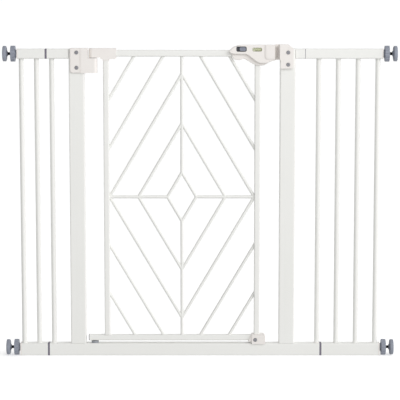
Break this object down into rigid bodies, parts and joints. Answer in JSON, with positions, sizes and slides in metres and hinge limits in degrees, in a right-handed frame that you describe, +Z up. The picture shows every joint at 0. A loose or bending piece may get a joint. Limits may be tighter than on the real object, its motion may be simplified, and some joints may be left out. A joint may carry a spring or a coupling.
{
  "type": "pressure-fit safety gate",
  "caption": "White tubular-steel pressure-fit child safety gate: lifting, swinging door with nested-diamond rods, slide-button latch handle, side extensions and screw spindles with wall pads.",
  "frame": {"origin": "On the plane of the bottom rail's underside, midway between the four wall faces, in the middle plane of the tubes.", "axes": "+X to the right as seen from the front, +Y from the front to the back, +Z up. The front, with the screws and the slide button, faces -Y."},
  "size_m": [0.962, 0.0424, 0.771],
  "materials": {
    "steel": "white powder coat, satin",
    "white_plastic": "moulded, fine satin",
    "grey_plastic": "moulded, matt",
    "joint_plastic": "moulded, matt",
    "button_plastic": "moulded, satin",
    "flag_plastic": "moulded, matt",
    "window_plastic": "clear polycarbonate",
    "dark_steel": "black zinc",
    "spring_steel": "bright zinc"
  },
  "bodies": {
    "frame": {"left_post": "steel", "right_post": "steel", "bottom_rail": "steel", "left_top_stub": "steel", "right_top_stub": "steel", "frame_bar": "steel", "left_extension_top_rail": "steel", "left_extension_bottom_rail": "steel", "left_extension_bars": "steel", "right_extension_top_rail": "steel", "right_extension_bottom_rail": "steel", "right_extension_bars": "steel", "bar_foot_plug": "white_plastic", "top_joint_plugs": "joint_plastic", "bottom_joint_plugs": "joint_plastic", "top_end_plugs": "white_plastic", "bottom_end_plugs": "white_plastic", "hinge_bracket": "white_plastic", "hinge_knuckle": "white_plastic", "bracket_screws": "dark_steel", "hinge_bushes": "grey_plastic", "hinge_spring": "spring_steel", "latch_receiver": "white_plastic"},
    "hinge_pins": {"upper_hinge_pin": "spring_steel", "lower_hinge_pin": "spring_steel"},
    "door": {"hinge_stile": "steel", "latch_stile": "steel", "door_top_rail": "steel", "door_bottom_rail": "steel", "centre_rods": "steel", "side_rods": "steel", "small_diamond": "steel", "middle_diamond_rods": "steel", "large_diamond_rods": "steel", "corner_rods": "steel", "hinge_corner_cap": "white_plastic", "door_rail_plug": "joint_plastic", "handle_body": "white_plastic", "handle_back": "white_plastic", "handle_cover": "white_plastic", "indicator_window": "window_plastic", "bottom_latch": "white_plastic", "door_screws": "dark_steel", "lock_spring": "spring_steel"},
    "lock": {"slide_button": "button_plastic", "lock_bolt": "white_plastic", "indicator_flag": "flag_plastic"},
    "pad_left_top": {"spindle_left_top": "dark_steel", "wall_pad_left_top": "grey_plastic"},
    "knob_left_top": {"knob_left_top": "grey_plastic"},
    "pad_left_bottom": {"spindle_left_bottom": "dark_steel", "wall_pad_left_bottom": "grey_plastic"},
    "knob_left_bottom": {"knob_left_bottom": "grey_plastic"},
    "pad_right_top": {"spindle_right_top": "dark_steel", "wall_pad_right_top": "grey_plastic"},
    "knob_right_top": {"knob_right_top": "grey_plastic"},
    "pad_right_bottom": {"spindle_right_bottom": "dark_steel", "wall_pad_right_bottom": "grey_plastic"},
    "knob_right_bottom": {"knob_right_bottom": "grey_plastic"}
  },
  "joints": [
    {"name": "door_lift", "type": "slide", "parent": "frame", "child": "hinge_pins", "axis": [0, 0, 1], "range_m": [0, 0.012]},
    {"name": "door_swing", "type": "hinge", "parent": "hinge_pins", "child": "door", "pos_m": [-0.261, 0, 0], "axis": [0, 0, -1], "range_deg": [0, 90], "stiffness_Nm_per_rad": 0.6, "springref_deg": -28.65},
    {"name": "lock_slide", "type": "slide", "parent": "door", "child": "lock", "axis": [-1, 0, 0], "range_m": [0, 0.006], "stiffness_N_per_m": 250, "springref_m": -0.006},
    {"name": "turn_left_top", "type": "hinge", "parent": "frame", "child": "knob_left_top", "pos_m": [-0.45475, 0, 0.7485], "axis": [-1, 0, 0], "range_deg": [-1440, 6480]},
    {"name": "reach_left_top", "type": "slide", "parent": "frame", "child": "pad_left_top", "axis": [-1, 0, 0], "range_m": [-0.005, 0.0225]},
    {"name": "turn_left_bottom", "type": "hinge", "parent": "frame", "child": "knob_left_bottom", "pos_m": [-0.45475, 0, 0.02], "axis": [-1, 0, 0], "range_deg": [-1440, 6480]},
    {"name": "reach_left_bottom", "type": "slide", "parent": "frame", "child": "pad_left_bottom", "axis": [-1, 0, 0], "range_m": [-0.005, 0.0225]},
    {"name": "turn_right_top", "type": "hinge", "parent": "frame", "child": "knob_right_top", "pos_m": [0.45475, 0, 0.7485], "axis": [1, 0, 0], "range_deg": [-1440, 6480]},
    {"name": "reach_right_top", "type": "slide", "parent": "frame", "child": "pad_right_top", "axis": [1, 0, 0], "range_m": [-0.005, 0.0225]},
    {"name": "turn_right_bottom", "type": "hinge", "parent": "frame", "child": "knob_right_bottom", "pos_m": [0.45475, 0, 0.02], "axis": [1, 0, 0], "range_deg": [-1440, 6480]},
    {"name": "reach_right_bottom", "type": "slide", "parent": "frame", "child": "pad_right_bottom", "axis": [1, 0, 0], "range_m": [-0.005, 0.0225]}
  ],
  "couplings": [
    {"joint": "reach_left_top", "follows": "turn_left_top", "m_per_rad": 0.00019894},
    {"joint": "reach_left_bottom", "follows": "turn_left_bottom", "m_per_rad": 0.00019894},
    {"joint": "reach_right_top", "follows": "turn_right_top", "m_per_rad": 0.00019894},
    {"joint": "reach_right_bottom", "follows": "turn_right_bottom", "m_per_rad": 0.00019894}
  ]
}
